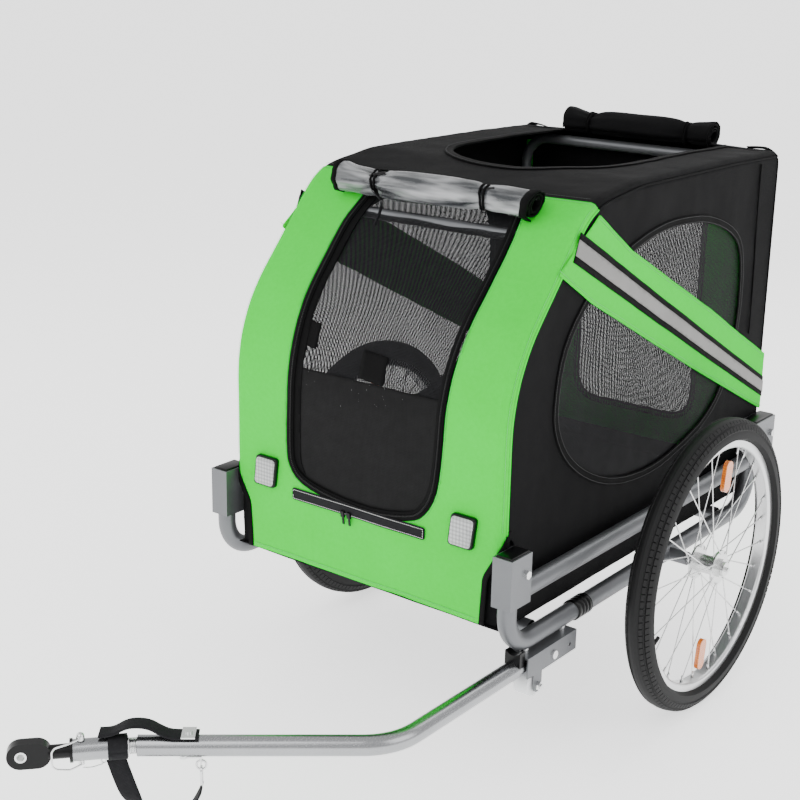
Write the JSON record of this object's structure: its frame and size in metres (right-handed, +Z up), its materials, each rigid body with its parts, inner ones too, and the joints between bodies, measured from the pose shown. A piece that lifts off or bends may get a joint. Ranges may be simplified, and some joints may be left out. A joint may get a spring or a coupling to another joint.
{
  "type": "pet bicycle trailer",
  "caption": "Pet trailer for a bicycle: folding cabin of green and black fabric with mesh door and windows, spoked wheels, cranked drawbar with sprung hitch.",
  "frame": {"origin": "on the floor, under the middle of the overall box", "axes": "+Z up, -Y forward along the direction of travel, +X the trailer's left, where the drawbar is"},
  "size_m": [0.7768, 1.4126, 0.912],
  "materials": {
    "alloy": "satin polished alloy",
    "frame_paint": "silver-grey powder coat",
    "zinc": "bright zinc plate",
    "tyre_rubber": "matt black rubber",
    "black_plastic": "moulded black nylon",
    "white_plastic": "milky white nylon",
    "amber_plastic": "amber reflector",
    "clear_plastic": "clear reflector",
    "green_fabric": "bright green woven polyester",
    "black_fabric": "black woven polyester",
    "mesh_fabric": "black open mesh",
    "clear_vinyl": "rolled clear vinyl",
    "webbing": "black nylon webbing",
    "board": "stiff floor board"
  },
  "bodies": {
    "frame": {"axle_sockets": "frame_paint", "bracket_screws": "zinc", "cross_tubes": "frame_paint", "d_ring": "zinc", "door_mesh": "mesh_fabric", "drawbar": "alloy", "drawbar_bolt": "zinc", "drawbar_bracket": "frame_paint", "drawbar_saddle": "black_plastic", "floor_board": "board", "floor_fabric": "black_fabric", "floor_pad": "black_fabric", "front_brackets": "frame_paint", "front_panel": "green_fabric", "front_reflectors": "clear_plastic", "hatch_cover_roll": "black_fabric", "lower_rail_left": "frame_paint", "lower_rail_right": "frame_paint", "pivot_bolts": "zinc", "rain_cover_roll": "clear_vinyl", "rear_brackets": "frame_paint", "rear_panel": "green_fabric", "ring_screw": "zinc", "ring_tab": "zinc", "roller_bolt": "zinc", "roof_panel": "black_fabric", "side_bands": "green_fabric", "side_panels": "black_fabric", "side_windows": "mesh_fabric", "snap_hook": "zinc", "strap_crimp": "zinc", "strap_hang": "webbing", "strap_top": "webbing", "upper_rails": "frame_paint"},
    "wheel_left": {"tyre_left": "tyre_rubber", "rim_left": "alloy", "hub_left": "zinc", "spokes_left": "zinc", "spoke_reflectors_left": "amber_plastic"},
    "wheel_right": {"tyre_right": "tyre_rubber", "rim_right": "alloy", "hub_right": "zinc", "spokes_right": "zinc", "spoke_reflectors_right": "amber_plastic"},
    "axle_left": {"quick_release_axle_left": "zinc"},
    "axle_right": {"quick_release_axle_right": "zinc"},
    "button_left": {"release_button_left": "zinc"},
    "button_right": {"release_button_right": "zinc"},
    "front_hoop": {"front_hoop": "frame_paint"},
    "rear_hoop": {"rear_hoop": "frame_paint"},
    "roller": {"roller": "white_plastic"},
    "hitch_head": {"hitch_sleeve": "alloy", "hitch_collar": "black_plastic", "coupler": "black_plastic", "coupler_bush": "zinc", "hitch_pin": "zinc", "pin_tether": "zinc", "strap_wrap": "webbing", "hitch_spring": "zinc"},
    "bail": {"pin_bail": "zinc"}
  },
  "joints": [
    {"name": "cabin_fold", "type": "hinge", "parent": "frame", "child": "rear_hoop", "pos_m": [0, 0.69146, 0.372], "axis": [1, 0, 0], "range_deg": [0, 76], "deforming": ["front_panel", "rear_panel", "roof_panel", "door_mesh", "side_panels", "side_windows", "side_bands", "rain_cover_roll", "hatch_cover_roll", "front_reflectors"]},
    {"name": "front_hoop_fold", "type": "hinge", "parent": "frame", "child": "front_hoop", "pos_m": [0, -0.09395, 0.362], "axis": [1, 0, 0], "range_deg": [-68.01, 0]},
    {"name": "axle_left_pull", "type": "slide", "parent": "frame", "child": "axle_left", "axis": [1, 0, 0], "range_m": [0, 0.13]},
    {"name": "wheel_left_spin", "type": "hinge", "parent": "axle_left", "child": "wheel_left", "pos_m": [0.352, 0.35225, 0.246], "axis": [1, 0, 0], "continuous": true},
    {"name": "button_left_press", "type": "slide", "parent": "axle_left", "child": "button_left", "axis": [-1, 0, 0], "range_m": [0, 0.004], "stiffness_N_per_m": 400, "springref_m": -0.002},
    {"name": "axle_right_pull", "type": "slide", "parent": "frame", "child": "axle_right", "axis": [-1, 0, 0], "range_m": [0, 0.13]},
    {"name": "wheel_right_spin", "type": "hinge", "parent": "axle_right", "child": "wheel_right", "pos_m": [-0.352, 0.35225, 0.246], "axis": [1, 0, 0], "continuous": true},
    {"name": "button_right_press", "type": "slide", "parent": "axle_right", "child": "button_right", "axis": [1, 0, 0], "range_m": [0, 0.004], "stiffness_N_per_m": 400, "springref_m": -0.002},
    {"name": "roller_spin", "type": "hinge", "parent": "frame", "child": "roller", "pos_m": [0.274, -0.05275, 0.1735], "axis": [1, 0, 0], "continuous": true},
    {"name": "hitch_yaw", "type": "hinge", "parent": "frame", "child": "hitch_head", "pos_m": [0.01508, -0.58101, 0.208], "axis": [0, 0, 1], "range_deg": [-30, 30], "stiffness_Nm_per_rad": 12, "deforming": ["strap_top", "hitch_spring"]},
    {"name": "bail_swing", "type": "hinge", "parent": "hitch_head", "child": "bail", "pos_m": [-0.02822, -0.63082, 0.22725], "axis": [-0.6561, -0.7547, 0], "range_deg": [0, 110]}
  ],
  "couplings": [
    {"joint": "front_hoop_fold", "follows": "cabin_fold", "ratio": -0.89474}
  ]
}
